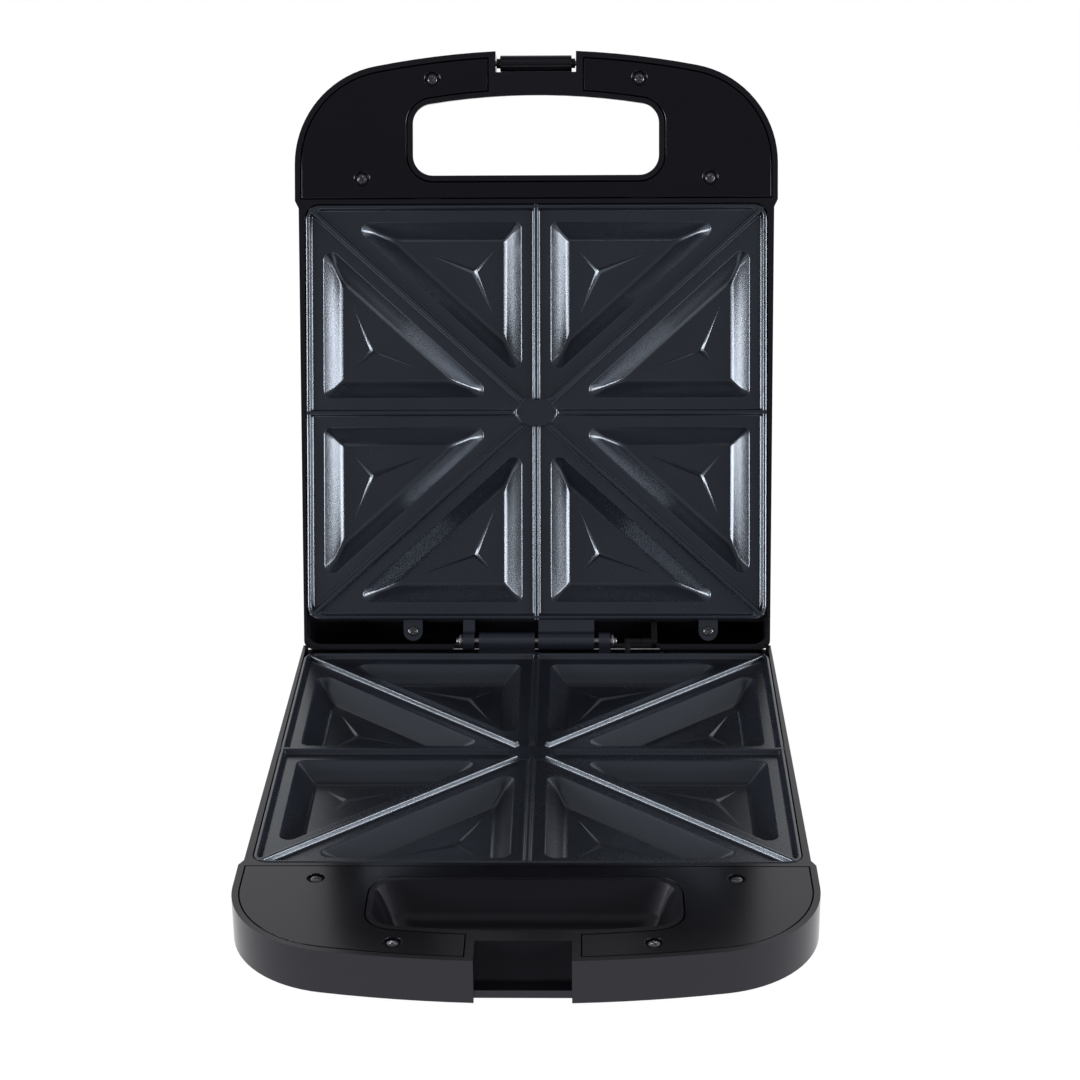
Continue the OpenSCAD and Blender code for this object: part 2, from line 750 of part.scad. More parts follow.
module thermostat() {
    color([0.55, 0.5, 0.45]) at_hinge() translate([0, -mid_v, shield_z]) {
        cylinder(h = thermo_h, r = thermo_r);
        for (y = [-1, 1]) translate([-2, y * (thermo_r + 1.5) - 2.5, 2]) cube([4, 5, 0.8]);
    }
}

module thermostat_bracket() {
    color([0.7, 0.7, 0.72]) at_hinge() translate([-22, -mid_v - 5, shield_z - shield_t])
        cube([44, 10, shield_t]);
}

fuse_l = 18;
fuse_r = 2.5;
fuse_at = [-fuse_l / 2 - 20, 40 - mid_v, shield_z - fuse_r - 0.1];
block_at = [-62, -30, -shell_h + wall];
tab_y = thermo_r + 2.2;

module thermal_fuse() {
    color([0.8, 0.78, 0.7]) at_hinge() translate(fuse_at) along_x(-fuse_l / 2, fuse_l / 2, fuse_r);
}

module terminal_block() {
    color([0.85, 0.84, 0.8]) at_hinge() translate(block_at)
        difference() {
            cube([27, 14, 11]);
            for (i = [0 : 2]) translate([4.5 + i * 9, 7, 5]) cylinder(h = 7, r = 2.4);
        }
}

// Lead from a heating element's end, through the heat shield, to the given point
module terminal_lead(side, points) {
    lead(concat([[side * (terminal_x - 0.1), -element_v0, element_z],
        [side * lead_hole_x, -element_v0, element_z],
        [side * lead_hole_x, -element_v0, shield_z - 4]], points));
}

module base_wiring() {
    low = -shell_h + wall + 4;
    front = block_at[1] - 0.1;
    fuse_y = fuse_at[1];
    color([0.75, 0.72, 0.6]) at_hinge() {
        lead([[block_at[0] + 27.1, block_at[1] + 7, low], [-8, block_at[1] + 7, low],
            [lead_x, -9, low], [lead_x, -9, -9], [lead_x, 0, 0], [lead_x + 7, 0, 0]]);
        lead([[block_at[0] + 4.5, front, low + 1], [block_at[0] + 4.5, front - 10, low + 1],
            [-48, fuse_y, fuse_at[2]], [fuse_at[0] - fuse_l / 2 - 0.1, fuse_y, fuse_at[2]]]);
        lead([[fuse_at[0] + fuse_l / 2 + 0.1, fuse_y, fuse_at[2]], [-8, fuse_y, fuse_at[2]],
            [0, tab_y - mid_v, shield_z - 5], [0, tab_y - mid_v, shield_z + 1.9]]);
        terminal_lead(1, [[lead_hole_x, -mid_v, shield_z - 4],
            [0, -tab_y - mid_v, shield_z - 5], [0, -tab_y - mid_v, shield_z + 1.9]]);
        terminal_lead(-1, [[-39.5, -52, low + 1], [-39.5, front, low + 1]]);
    }
}

module cord_gland() {
    color([0.08, 0.08, 0.08]) at_hinge() translate([gland_x, 0, gland_z])
        rotate([-90, 0, 0]) difference() {
            union() {
                translate([0, 0, -6]) cylinder(h = rear_d + 12, r = gland_r);
                translate([0, 0, rear_d]) cylinder(h = 2, r = gland_r + 2);
                translate([0, 0, rear_d - wall - 1.5]) cylinder(h = 1.5, r = gland_r + 1.2);
            }
            translate([0, 0, -8]) cylinder(h = rear_d + 20, r = gland_bore_r);
        }
}

module rubber_feet() {
    color([0.06, 0.06, 0.06]) at_hinge() for (x = [-foot_x, foot_x], v = foot_v)
        translate([x, -v, -shell_h]) {
            translate([0, 0, -foot_h]) cylinder(h = foot_h, r1 = foot_r - 1, r2 = foot_r);
            cylinder(h = wall + 1.5, r = 3);
        }
}

module hinge_pin() {
    color([0.7, 0.71, 0.73]) at_hinge() along_x(-pin_half, pin_half, pin_r);
}

module hinge_pin_clips() {
    color([0.5, 0.5, 0.52]) at_hinge() for (m = [0, 1]) mirror([m, 0, 0]) difference() {
        along_x(hinge_half + 0.6, hinge_half + 1.8, pin_r + 2);
        along_x(0, pin_half + 5, pin_r + 0.02);
    }
}

// ---------------------------------------------------------------- lid fittings

module lid_wiring() {
    color([0.75, 0.72, 0.6]) in_lid() {
        lead([[-lead_x - 7.3, 0, 0], [-lead_x - 15, 0, 0], [-lead_x - 15, -9, -9],
            [-lead_x - 15, -14, shield_z - 4],
            [-lead_hole_x, -element_v0, shield_z - 4], [-lead_hole_x, -element_v0, element_z],
            [-terminal_x + 0.1, -element_v0, element_z]]);
        terminal_lead(1, [[lead_hole_x, -lens_v + 24, shield_z - 4],
            [26, -lens_v + 9.7, -shell_h + wall + 9.25]]);
    }
}

module lamp_holder() {
    color([0.85, 0.84, 0.8]) in_lid() translate([0, -lens_v, -shell_h + wall]) difference() {
        union() {
            translate([-holder_w / 2, -holder_l / 2, holder_up])
                cube([holder_w, holder_l, holder_t]);
            for (x = [-1, 0, 1]) translate([x * (holder_w / 2 - 4), 0, 0])
                cylinder(h = holder_up + 1, r = 2.2);
        }
        for (x = [-lens_x, lens_x]) translate([x, 0, holder_up - 2])
            cylinder(h = holder_t + 3.5, r = lamp_r + 0.1);
    }
}

module neon_lamps() {
    color([0.95, 0.75, 0.55]) in_lid()
        for (x = [-lens_x, lens_x]) translate([x, -lens_v, -shell_h + wall + 3])
            cylinder(h = holder_up + 1, r = lamp_r);
}

module lens() {
    translate([0, 0, -0.5]) cylinder(h = wall + 2.9, r = lens_neck_r);
    intersection() {
        translate([0, 0, lens_r * 1.6 - 2]) sphere(r = lens_r * 1.6);
        translate([0, 0, -3]) cylinder(h = 3, r = lens_r);
    }
}

module power_lamp_lens() {
    color([0.8, 0.1, 0.08]) in_lid() translate([lens_x, -lens_v, -shell_h]) lens();
}

module ready_lamp_lens() {
    color([0.1, 0.6, 0.2]) in_lid() translate([-lens_x, -lens_v, -shell_h]) lens();
}

// ---------------------------------------------------------------- latch

module in_latch() {
    at_hinge() rotate([-open_angle, 0, 0]) translate([0, -pivot_v, latch_up])
        rotate([-latch_swing, 0, 0]) children();
}

// Latch seen from its side, pivot at the origin, hook below, front towards -x
module latch_profile() {
    circle(r = latch_r);
    translate([-latch_r, -latch_len + 2]) square([latch_t, latch_len - 2]);
    translate([-latch_r, -latch_len]) square([latch_r + hook_in, hook_t]);
    polygon([[-latch_r + 0.5, -latch_len], [-latch_r - tab_out, -latch_len],
        [-latch_r - tab_out, -latch_len + 1.6], [-latch_r, -latch_len + 6],
        [-latch_r + 0.5, -latch_len + 6]]);
}

module latch() {
    color([0.11, 0.11, 0.12]) in_latch() difference() {
        union() {
            translate([-latch_w / 2, 0, 0]) rotate([90, 0, 90]) linear_extrude(latch_w)
                latch_profile();
            along_x(-lid_notch_x + 0.4, lid_notch_x - 0.4, latch_pin_r + 1.2);
        }
        along_x(-latch_w, latch_w, latch_pin_r + 0.02);
    }
}

module latch_pin() {
    color([0.6, 0.6, 0.62]) in_latch()
        along_x(-lid_notch_x - 2.5, lid_notch_x + 2.5, latch_pin_r);
}

base_housing();
base_handle_panel();
base_plate();
base_panel_screws();
base_plate_screws();
base_heating_element();
base_element_clips();
base_reflector();
base_reflector_screws();
thermostat();
thermostat_bracket();
thermal_fuse();
terminal_block();
base_wiring();
cord_gland();
rubber_feet();
hinge_pin();
hinge_pin_clips();
lid_housing();
lid_handle_panel();
lid_plate();
lid_panel_screws();
lid_plate_screws();
lid_heating_element();
lid_element_clips();
lid_reflector();
lid_reflector_screws();
lid_wiring();
lamp_holder();
neon_lamps();
power_lamp_lens();
ready_lamp_lens();
latch();
latch_pin();
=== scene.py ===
import json
import math

import bpy
import bmesh
import numpy as np
from mathutils import Matrix, Vector, geometry

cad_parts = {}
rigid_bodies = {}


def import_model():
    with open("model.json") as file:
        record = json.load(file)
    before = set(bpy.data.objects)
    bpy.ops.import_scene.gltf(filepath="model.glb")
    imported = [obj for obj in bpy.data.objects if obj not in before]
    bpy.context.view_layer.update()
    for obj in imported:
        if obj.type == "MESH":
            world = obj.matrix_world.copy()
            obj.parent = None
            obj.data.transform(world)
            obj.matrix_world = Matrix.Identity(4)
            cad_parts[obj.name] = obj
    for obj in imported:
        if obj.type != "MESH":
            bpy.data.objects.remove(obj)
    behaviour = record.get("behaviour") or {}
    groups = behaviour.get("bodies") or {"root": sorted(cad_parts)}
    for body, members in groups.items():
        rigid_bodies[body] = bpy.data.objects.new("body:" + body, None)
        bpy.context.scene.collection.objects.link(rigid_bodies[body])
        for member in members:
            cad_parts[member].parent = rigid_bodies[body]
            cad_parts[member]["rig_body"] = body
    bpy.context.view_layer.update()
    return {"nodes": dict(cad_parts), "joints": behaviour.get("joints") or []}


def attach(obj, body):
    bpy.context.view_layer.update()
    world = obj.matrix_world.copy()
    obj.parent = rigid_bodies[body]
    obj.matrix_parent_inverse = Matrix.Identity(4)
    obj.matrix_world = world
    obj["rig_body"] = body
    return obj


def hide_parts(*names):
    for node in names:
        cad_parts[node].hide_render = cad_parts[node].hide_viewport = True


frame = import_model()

# Both halves are drawn alike, in millimetres, hanging below the hinge line: x across, y away
# from the handle, z up. BASE and LID take the drawing to each half's place at rest, in metres.
MM = 0.001
JOINT = {j["name"]: j for j in frame["joints"]}
HINGE = Vector(JOINT["lid_hinge"]["pos_m"])
OPEN = math.radians(JOINT["lid_hinge"]["range_deg"][1])
BASE = Matrix.Translation(HINGE) @ Matrix.Scale(MM, 4)
LID = (Matrix.Translation(HINGE) @ Matrix.Rotation(-OPEN, 4, "X")
       @ Matrix.Rotation(math.pi, 4, "Y") @ Matrix.Scale(MM, 4))

# The cooking plate's sizes, as the CAD has them. On the plate itself x and y start at its middle.
PLATE_W, PLATE_L, PLATE_BACK, PLATE_R = 256.0, 230.7, 11.7, 8.0
CELL_W, CELL_L = PLATE_W / 2, PLATE_L / 2
MID = PLATE_BACK + CELL_L
TOP = -1.2
RIB_H = 2.8
FLAT = TOP - RIB_H
CAST = 3.0
FLANGE = FLAT - CAST
HUB_W, HUB_L = 10.8, 7.9

POCKET_D, POCKET_R, POCKET_MIN_R = 8.8, 4.5, 1.3
POCKET_TO_RIB, POCKET_TO_EDGE, POCKET_TO_DIAGONAL = 8.3, 9.8, 8.8
SLANT = math.atan2(CELL_L, CELL_W)
CUT = POCKET_TO_DIAGONAL / math.cos(SLANT)
INNER = CELL_L - POCKET_TO_EDGE - POCKET_TO_RIB * math.tan(SLANT) - CUT
OUTER = (CELL_W - POCKET_TO_EDGE) * math.tan(SLANT) - CUT - POCKET_TO_RIB
CREASE_H, CREASE_W, CREASE_REACH = 1.06, 1.5, 0.42

# Each rib as its direction and the distance from the plate's middle at which it starts
STRAIGHT_X, STRAIGHT_Y, DIAGONAL = 12.2, 7.7, 10.9
RIBS = [(0.0, STRAIGHT_X), (math.pi, STRAIGHT_X), (math.pi / 2, STRAIGHT_Y), (-math.pi / 2, STRAIGHT_Y)]
RIBS += [(a, DIAGONAL) for a in (SLANT, math.pi - SLANT, math.pi + SLANT, -SLANT)]

# Height below the top plane, against distance from the plate's outer edge
RIM = [(0.0, -1.3), (0.14, -0.85), (0.45, -0.36), (0.85, -0.12), (1.25, -0.02), (1.6, 0.0),
       (1.95, -0.04), (2.2, -0.2), (2.45, -0.6), (2.75, -1.3), (3.05, -1.98), (3.3, -2.42),
       (3.6, -2.7), (4.0, -RIB_H), (4.5, -RIB_H)]
# Height below the top plane, against distance from a rib's middle
RIB = [(0.0, 0.0), (0.5, -0.01), (0.75, -0.06), (0.95, -0.2), (1.08, -0.42), (1.15, -0.66),
       (1.55, -2.15), (1.64, -2.4), (1.8, -2.6), (2.05, -2.74), (2.4, -RIB_H), (2.9, -RIB_H)]
# Height above the flat of the patch between the ribs' ends, against distance inside its edge
PATCH = [(-0.5, 0.0), (-0.2, 0.04), (0.1, 0.3), (0.4, 0.36)]

# Share of a pocket's depth, against distance inside its edge: rounded lip, slanting wall, fillet
WALL_SLOPE, FILLET_END, FILLET_R = math.radians(43.5), math.radians(17), 6.0
FILLET_H = FILLET_R * (math.cos(FILLET_END) - math.cos(WALL_SLOPE))
WALL_RUN = (POCKET_D - FILLET_H) / math.tan(WALL_SLOPE)
WALL = [(-0.8, 0.0), (-0.45, 0.0), (-0.2, 0.06), (0.05, 0.22), (0.3, 0.5), (0.6, 0.95)]
WALL += [(WALL_RUN * t, WALL_RUN * t * math.tan(WALL_SLOPE)) for t in (0.6, 1.0)]
WALL += [(WALL_RUN + FILLET_R * (math.sin(WALL_SLOPE) - math.sin(a)),
          POCKET_D - FILLET_R * (math.cos(FILLET_END) - math.cos(a)))
         for a in (FILLET_END + (WALL_SLOPE - FILLET_END) * t
                   for t in (0.86, 0.71, 0.57, 0.43, 0.29, 0.15, 0.0))]
WALL += [(WALL[-1][0] + 0.35, POCKET_D)]
WALL = [(d, z / POCKET_D) for d, z in WALL]


# ------------------------------------------------------------------ mesh helpers

class Builder:
    """Collects vertices and faces; equal points are merged when the mesh is built."""

    def __init__(self):
        self.verts, self.faces = [], []

    def add(self, verts, faces):
        n = len(self.verts)
        self.verts += [tuple(v) for v in verts]
        self.faces += [[i + n for i in f] for f in faces]

    def loft(self, rings):
        """Quads between successive closed rings with the same number of points."""
        n = len(rings[0])
        faces = []
        for k in range(len(rings) - 1):
            for i in range(n):
                j = (i + 1) % n
                faces.append([k * n + i, k * n + j, (k + 1) * n + j, (k + 1) * n + i])
        self.add([p for ring in rings for p in ring], faces)

    def build(self, name, matrix, merge=0.004):
        bm = bmesh.new()
        verts = [bm.verts.new(v) for v in self.verts]
        for f in self.faces:
            try:
                bm.faces.new([verts[i] for i in f])
            except ValueError:  # the same face is already there
                pass
        bmesh.ops.remove_doubles(bm, verts=bm.verts, dist=merge)
        bmesh.ops.dissolve_degenerate(bm, edges=bm.edges, dist=merge / 2)
        bmesh.ops.recalc_face_normals(bm, faces=bm.faces)
        mesh = bpy.data.meshes.new(name)
        bm.to_mesh(mesh)
        bm.free()
        mesh.transform(matrix)
        mesh.polygons.foreach_set("use_smooth", [True] * len(mesh.polygons))
        return link(name, mesh)


def link(name, data):
    obj = bpy.data.objects.new(name, data)
    bpy.context.scene.collection.objects.link(obj)
    return obj


def keep_corners(obj, angle):
    """Smooth shading that stays crisp where faces meet at more than an angle in degrees."""
    bm = bmesh.new()
    bm.from_mesh(obj.data)
    limit = math.radians(angle)
    for e in bm.edges:
        e.smooth = not (len(e.link_faces) == 2 and e.calc_face_angle(0) > limit)
    bm.to_mesh(obj.data)
    bm.free()


def put(obj, body, slot, *nodes):
    """Gives a piece its body, in place of the CAD nodes named, which it hides."""
    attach(obj, body)
    if nodes:
        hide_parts(*nodes)


def curve_table(points):
    """Function through (x, y) points in straight steps, level beyond both ends."""
    xs, ys = np.array(points, float).T
    return lambda x: float(np.interp(x, xs, ys))


def inside(outline, p):
    """Whether p is inside a closed outline."""
    x, y = p
    hit = False
    for i in range(len(outline)):
        (x0, y0), (x1, y1) = outline[i], outline[(i + 1) % len(outline)]
        if (y0 > y) != (y1 > y) and x < (x1 - x0) * (y - y0) / (y1 - y0) + x0:
            hit = not hit
    return hit


def triangulate(points, edges):
    """Flat mesh through the points that keeps the edges: its points and faces."""
    found = geometry.delaunay_2d_cdt([Vector(p) for p in points], edges, [], 0, 1e-5)
    return found[0], found[2]


def face_middle(points, face):
    return (sum(points[i].x for i in face) / len(face), sum(points[i].y for i in face) / len(face))


def along(length, ends, step=13.0):
    """Positions along a run: given distances from both ends, and equal steps between."""
    ends = [d for d in ends if d < length * 0.45]
    last = ends[-1] if ends else 0.0
    span = length - last - last
    n = max(1, round(span / step))
    return ([0.0] + ends + [last + span * k / n for k in range(1, n)]
            + [length - d for d in reversed(ends)] + [length])


def along_side(length, ends=(0.8, 2.4, 6.0), full=14.0):
    """Always six positions between the ends of a straight side, whatever its length."""
    near = [d * min(1.0, length / full) for d in ends]
    return near + [length - d for d in reversed(near)]


def rounded_polygon(corners, inset, radii, arc=10):
    """Closed outline inside a convex polygon, with a rounded corner at each vertex."""
    n = len(corners)
    c = [Vector(p) for p in corners]
    lines = []
    for i in range(n):
        d = (c[(i + 1) % n] - c[i]).normalized()
        normal = Vector((-d.y, d.x))
        lines.append((c[i] + normal * inset, d, normal))
    arcs = []
    for i in range(n):
        (p0, d0, n0), (p1, d1, n1) = lines[i - 1], lines[i]
        r = radii[i]
        q0, q1 = p0 + n0 * r, p1 + n1 * r
        centre = q0 + d0 * ((q1 - q0).cross(d1) / d0.cross(d1))
        a0 = math.atan2(-n0.y, -n0.x)
        a1 = math.atan2(-n1.y, -n1.x)
        while a1 < a0:
            a1 += 2 * math.pi
        turns = [a0 + (a1 - a0) * k / arc for k in range(arc + 1)]
        arcs.append([centre + r * Vector((math.cos(t), math.sin(t))) for t in turns])
    ring = []
    for i in range(n):
        ring += arcs[i]
        a, b = arcs[i][-1], arcs[(i + 1) % n][0]
        length = (b - a).length
        ring += [a + (b - a) * (s / length) for s in along_side(length)]
    return ring


# ------------------------------------------------------------------ cooking plate

rim_f, rib_f, patch_f = curve_table(RIM), curve_table(RIB), curve_table(PATCH)
RIB_START = 0.9  # how far beyond its start a rib's middle line begins: its nose slopes as its sides do
LONG_SIDE, SIDE_STEP = 30, 15


def pockets():
    """Each pocket's corners, counter-clockwise from its right angle."""
    for sx in (1, -1):
        for sy in (1, -1):
            for inner in (True, False):
                if inner:
                    x, y = POCKET_TO_RIB, CELL_L - POCKET_TO_EDGE
                    a, b, c = (x, y), (x + INNER / math.tan(SLANT), y), (x, y - INNER)
                else:
                    x, y = CELL_W - POCKET_TO_EDGE, POCKET_TO_RIB
                    a, b, c = (x, y), (x - OUTER / math.tan(SLANT), y), (x, y + OUTER)
                a, b, c = (Vector((p[0] * sx, p[1] * sy)) for p in (a, b, c))
                if (b - a).cross(c - a) < 0:
                    b, c = c, b
                yield [a, b, c]


def rim_distance(x, y):
    """Distance inside the plate's rounded outline."""
    qx, qy = abs(x) - (CELL_W - PLATE_R), abs(y) - (CELL_L - PLATE_R)
    out = math.hypot(max(qx, 0), max(qy, 0)) + min(max(qx, qy), 0)
    return PLATE_R - out


def patch_distance(x, y):
    """Distance inside the oval patch, about; far inside where the middle is near."""
    share = math.hypot(x / HUB_W, y / HUB_L)
    if share <= 0.3:
        return 9
    return (1 - share) * HUB_W * HUB_L / math.hypot(HUB_W * y, HUB_L * x) * math.hypot(x, y)


def plate_height(x, y):
    """Height below the top plane of the rim, the ribs, the patch and the flat between them."""
    h = rim_f(rim_distance(x, y))
    if abs(x) < 12 and abs(y) < 9:
        h = max(h, patch_f(patch_distance(x, y)) - RIB_H)
    for a, start in RIBS:
        u = x * math.cos(a) + y * math.sin(a)
        w = abs(-x * math.sin(a) + y * math.cos(a))
        if u > start - 4:
            h = max(h, rib_f(max(w, start + RIB_START - u)))
    return h


class Drawing:
    """Flat lines that the plate's top is triangulated from."""

    def __init__(self):
        self.points, self.edges = [], []

    def line(self, seq, closed=False):
        n = len(self.points)
        self.points += [(p[0], p[1]) for p in seq]
        self.edges += [(n + i, n + i + 1) for i in range(len(seq) - 1)]
        if closed:
            self.edges.append((n + len(seq) - 1, n))


def draw_rim(drawing):
    """One line round the plate for each row of RIM; returns the outermost."""
    box = [(-CELL_W, -CELL_L), (CELL_W, -CELL_L), (CELL_W, CELL_L), (-CELL_W, CELL_L)]
    outlines = []
    for e, _ in RIM:
        ring = rounded_polygon(box, e, [max(PLATE_R - e, 1.2)] * 4, arc=12)
        outline = []
        for p, q in zip(ring, ring[1:] + ring[:1]):
            outline.append(p)
            length = (q - p).length
            if length > LONG_SIDE:
                m = round(length / SIDE_STEP)
                outline += [p + (q - p) * (k / m) for k in range(1, m)]
        drawing.line(outline, closed=True)
        outlines.append(outline)
    return outlines[0]


def draw_ribs(drawing):
    """Lines along each rib for each row of RIB, and across the rib's nose."""
    for a, start in RIBS:
        c, s = math.cos(a), math.sin(a)
        if abs(c) < 1e-6:
            end = CELL_L - 0.3
        elif abs(s) < 1e-6:
            end = CELL_W - 0.3
        else:
            end = math.hypot(CELL_W, CELL_L) - 4.2
        for w, _ in RIB:
            s0 = start + RIB_START - w
            run = [s0 + t for t in along(end - s0, [0.6, 1.4, 3.0, 6.0, 9.0])]
            for side in ((1, -1) if w > 0 else (1,)):
                drawing.line([(u * c - side * w * s, u * s + side * w * c) for u in run])
            if w > 0:
                drawing.line([(s0 * c - t * s, s0 * s + t * c) for t in np.linspace(-w, w, 5)])


def plate_top(builder):
    """The whole cooking side of a plate; returns its outer outline."""
    drawing = Drawing()
    outer = draw_rim(drawing)
    for e, _ in PATCH:
        drawing.line([((HUB_W - e) * math.cos(t), (HUB_L - e) * math.sin(t))
                      for t in np.linspace(0, 2 * math.pi, 49)[:-1]], closed=True)
    draw_ribs(drawing)
    mouths = []
    for corners in pockets():
        rings = []
        for d, share in WALL:
            r = max(POCKET_R - d, POCKET_MIN_R)
            ring = rounded_polygon(corners, d, [max(r - 0.6, POCKET_MIN_R), r, r])
            rings.append([(p.x, p.y - MID, FLAT - POCKET_D * share) for p in ring])
        builder.loft(rings)
        mouth = [(p[0], p[1] + MID) for p in rings[0]]
        mouths.append((min(p[0] for p in mouth), max(p[0] for p in mouth),
                       min(p[1] for p in mouth), max(p[1] for p in mouth), mouth))
        drawing.line(mouth, closed=True)
        pocket_floor(builder, corners, rings[-1])
    points, faces = triangulate(drawing.points, drawing.edges)
    kept = []
    for face in faces:
        x, y = face_middle(points, face)
        in_pocket = any(x0 < x < x1 and y0 < y < y1 and inside(mouth, (x, y))
                        for x0, x1, y0, y1, mouth in mouths)
        if rim_distance(x, y) >= 0 and not in_pocket:
            kept.append(list(face))
    builder.add([(p.x, p.y - MID, TOP + plate_height(p.x, p.y)) for p in points], kept)
    return outer


def pocket_floor(builder, corners, ring):
    """Flat floor with a three-armed crease, inside the last ring of the wall."""
    def key(p):
        return round(p.x, 3), round(p.y, 3)

    a, b, c = corners
    la, lb, lc = (b - c).length, (c - a).length, (a - b).length
    centre = (a * la + b * lb + c * lc) / (la + lb + lc)
    outline = [(p[0], p[1] + MID) for p in ring]
    n = len(outline)
    edges = [(i, (i + 1) % n) for i in range(n)]
    points = outline + [(centre.x, centre.y)]
    heights = {key(centre): CREASE_H}
    arms = [(corner - centre).normalized() for corner in corners]
    lengths = [(corner - centre).length * CREASE_REACH for corner in corners]
    arms = sorted(zip(arms, lengths), key=lambda arm: math.atan2(arm[0].y, arm[0].x))
    notches = []
    for k, (d, _) in enumerate(arms):
        after = arms[(k + 1) % 3][0]
        between = (d + after).normalized()
        if d.cross(after) < 0:
            between = -between
        p = centre + between * (CREASE_W / abs(between.cross(d)))
        notches.append(len(points))
        points.append((p.x, p.y))
    for k, (d, length) in enumerate(arms):
        ridge = [n]
        for t in (0.25, 0.5, 0.75, 1.0):
            p = centre + d * (length * t)
            heights[key(p)] = CREASE_H * (1 - t)
            ridge.append(len(points))
            points.append((p.x, p.y))
        edges += list(zip(ridge, ridge[1:]))
        edges += [(notches[k], ridge[-1]), (notches[k - 1], ridge[-1])]
    points, faces = triangulate(points, edges)
    kept = [list(face) for face in faces if inside(outline, face_middle(points, face))]
    builder.add([(p.x, p.y - MID, FLAT - POCKET_D + heights.get(key(p), 0.0)) for p in points], kept)


def cad_faces(node, matrix, keep):
    """Points and faces of a CAD node, in its half's drawing, that pass keep(middle, normal)."""
    inverse = matrix.inverted()
    mesh = frame["nodes"][node].data
    verts = [inverse @ v.co for v in mesh.vertices]
    faces = []
    for p in mesh.polygons:
        idx = list(p.vertices)
        middle = sum((verts[i] for i in idx), Vector()) / len(idx)
        normal = (verts[idx[1]] - verts[idx[0]]).cross(verts[idx[2]] - verts[idx[0]])
        if normal.length >= 1e-9 and keep(middle, normal.normalized()):
            faces.append(idx)
    used = sorted({i for f in faces for i in f})
    new = {i: k for k, i in enumerate(used)}
    return [verts[i] for i in used], [[new[i] for i in f] for f in faces]


def make_plate(name, node, matrix):
    """A plate with a modelled cooking side on the CAD's underside, lugs and knuckles."""
    def keep(middle, normal):
        in_plan = rim_distance(middle.x, middle.y + MID) > -0.02
        return not in_plan or (normal.z < 0.02 and middle.z < FLANGE + 0.01)

    builder = Builder()
    outline = plate_top(builder)
    builder.loft([[(p.x, p.y - MID, z) for p in outline]
                  for z in (RIM[0][1] + TOP, TOP - 2.0, FLANGE + 0.35, FLANGE)])
    builder.add(*cad_faces(node, matrix, keep))
    obj = builder.build(name, matrix)
    keep_corners(obj, 33)
    obj.data.materials.append(MAT["coating"])
    return obj


# ------------------------------------------------------------------ materials

def add_node(tree, kind, inputs, **settings):
    """New shader node, with a value or a link for each input named."""
    node = tree.nodes.new("ShaderNode" + kind)
    for key, value in settings.items():
        setattr(node, key, value)
    for key, value in inputs.items():
        if isinstance(value, bpy.types.NodeSocket):
            tree.links.new(value, node.inputs[key])
        else:
            node.inputs[key].default_value = value
    return node


def material(name, colour, rough, spec=0.5, metallic=0.0, coat=0.0, transmission=0.0,
             grain=900, bump=0.0, rough_var=0.05, painted_light_tint=(1, 1, 1)):
    """Principled material with fine grain, slow colour drift and uneven gloss.

    grain is the number of bumps per metre, bump their height in metres, shine the tint of
    the gloss, bluish where it is painted in for the bluish cast of the light, and rough_var how far
    roughness strays to both sides."""
    drift_scale, drift, coat_rough = 12.0, 0.06, 0.1
    m = bpy.data.materials.new(name)
    m.use_nodes = True
    m.diffuse_color = (*colour, 1)
    tree = m.node_tree
    shader = tree.nodes["Principled BSDF"]
    # The gloss tint is painted: where it is bluish, it stands for the bluish cast of the light, not for the
    # material.
    for key, value in (("Metallic", metallic), ("Specular IOR Level", spec), ("Specular Tint", (*painted_light_tint, 1)),
                       ("Coat Weight", coat), ("Coat Roughness", coat_rough),
                       ("Transmission Weight", transmission)):
        shader.inputs[key].default_value = value
    place = tree.nodes.new("ShaderNodeTexCoord").outputs["Object"]
    slow = add_node(tree, "TexNoise", {"Vector": place, "Scale": drift_scale, "Detail": 3}).outputs["Fac"]
    fine = add_node(tree, "TexNoise", {"Vector": place, "Scale": grain, "Detail": 2}).outputs["Fac"]
    ramp = add_node(tree, "ValToRGB", {"Fac": slow})
    c = np.array(colour)
    for end, position, shade in zip(ramp.color_ramp.elements, (0.3, 0.7),
                                    (c * (1 - drift), np.minimum(c * (1 + drift), 1))):
        end.position = position
        end.color = (*shade, 1)
    tree.links.new(ramp.outputs["Color"], shader.inputs["Base Color"])
    both = add_node(tree, "Math", {0: fine, 1: 0.45, 2: slow}, operation="MULTIPLY_ADD")
    span = add_node(tree, "MapRange", {
        "Value": both.outputs[0], "From Min": 0.4, "From Max": 1.05,
        "To Min": max(rough - rough_var, 0.01), "To Max": rough + rough_var})
    tree.links.new(span.outputs[0], shader.inputs["Roughness"])
    if bump:
        relief = add_node(tree, "Bump", {"Strength": 1.0, "Distance": bump, "Height": fine})
        tree.links.new(relief.outputs["Normal"], shader.inputs["Normal"])
    return m
